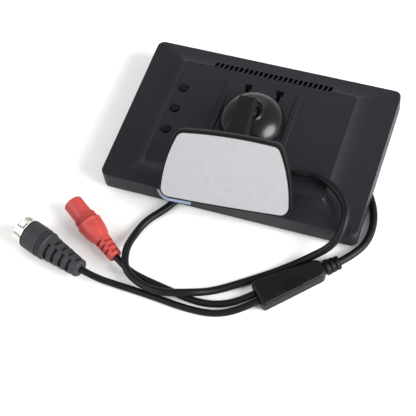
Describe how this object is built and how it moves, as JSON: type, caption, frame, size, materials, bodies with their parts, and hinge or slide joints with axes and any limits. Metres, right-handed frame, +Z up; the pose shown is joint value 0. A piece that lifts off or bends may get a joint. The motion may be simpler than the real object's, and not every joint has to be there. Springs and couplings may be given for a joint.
{
  "type": "rear view monitor with adhesive ball stand and split lead",
  "caption": "Flat grey rear view monitor lying face down, with rear keys, a glossy dome, a ball-jointed adhesive stand, and a lead that splits into a screw connector and a red power jack.",
  "frame": {"origin": "on the supporting surface, under the middle of the case and stand", "axes": "+X along the width of the case, +Y to its top edge, +Z up out of its back"},
  "size_m": [0.1919, 0.1623, 0.0563],
  "materials": {
    "case_plastic": "fine spark texture",
    "stand_plastic": "fine texture",
    "dome_plastic": "polished",
    "cable_sheath": "satin",
    "red_sheath": "satin",
    "nickel": "bright plated",
    "gold": "plated",
    "tray_steel": "zinc plated",
    "screen_glass": "clear",
    "panel": "polished",
    "board": "solder mask",
    "chip": "moulded",
    "white_nylon": "moulded",
    "foam": "closed cell foam",
    "liner": "waxed paper",
    "film": "clear blue film"
  },
  "bodies": {
    "monitor": {"front_bezel": "case_plastic", "rear_cover": "case_plastic", "screen_glass": "screen_glass", "lcd_panel": "panel", "backlight_tray": "tray_steel", "main_board": "board", "board_chips": "chip", "button_board": "board", "tact_switches": "tray_steel", "board_screws": "tray_steel", "board_plug": "white_nylon", "inner_lead": "cable_sheath", "strain_relief": "cable_sheath", "lead_loop": "cable_sheath", "lead_under": "cable_sheath", "lead_right": "cable_sheath", "splitter_body": "cable_sheath", "splitter_boot": "cable_sheath", "video_tail": "cable_sheath", "power_tail": "cable_sheath", "video_body": "cable_sheath", "video_ring": "nickel", "video_insert": "cable_sheath", "video_pins": "gold", "power_body": "red_sheath", "power_sleeve": "nickel", "power_pin": "nickel"},
    "menu_button_key": {"menu_button": "case_plastic"},
    "up_button_key": {"up_button": "case_plastic"},
    "down_button_key": {"down_button": "case_plastic"},
    "bracket": {"dome_cover": "dome_plastic", "track_plate": "stand_plastic", "bracket_screws": "tray_steel", "wave_washer": "tray_steel"},
    "ball_cup": {"socket_cup": "stand_plastic"},
    "ball_body": {"ball": "stand_plastic"},
    "stand": {"arm": "stand_plastic", "base_plate": "stand_plastic", "plate_screws": "tray_steel", "adhesive_pad": "foam", "release_liner": "liner", "pull_tab": "film"}
  },
  "joints": [
    {"name": "menu_button_press", "type": "slide", "parent": "monitor", "child": "menu_button_key", "axis": [0, 0, -1], "range_m": [0, 0.0006], "stiffness_N_per_m": 400},
    {"name": "up_button_press", "type": "slide", "parent": "monitor", "child": "up_button_key", "axis": [0, 0, -1], "range_m": [0, 0.0006], "stiffness_N_per_m": 400},
    {"name": "down_button_press", "type": "slide", "parent": "monitor", "child": "down_button_key", "axis": [0, 0, -1], "range_m": [0, 0.0006], "stiffness_N_per_m": 400},
    {"name": "bracket_slide", "type": "slide", "parent": "monitor", "child": "bracket", "axis": [0, 1, 0], "range_m": [0, 0.0096]},
    {"name": "stand_swivel", "type": "hinge", "parent": "bracket", "child": "ball_cup", "pos_m": [-0.001, 0.00725, 0.0285], "axis": [0, 0, 1], "range_deg": [-9, 9]},
    {"name": "stand_tilt", "type": "hinge", "parent": "ball_cup", "child": "ball_body", "pos_m": [-0.001, 0.00725, 0.0285], "axis": [-1, 0, 0], "range_deg": [0, 24]},
    {"name": "stand_spin", "type": "hinge", "parent": "ball_body", "child": "stand", "pos_m": [-0.001, 0.00725, 0.0285], "axis": [0, 0, 1], "range_deg": [-9, 9]}
  ]
}
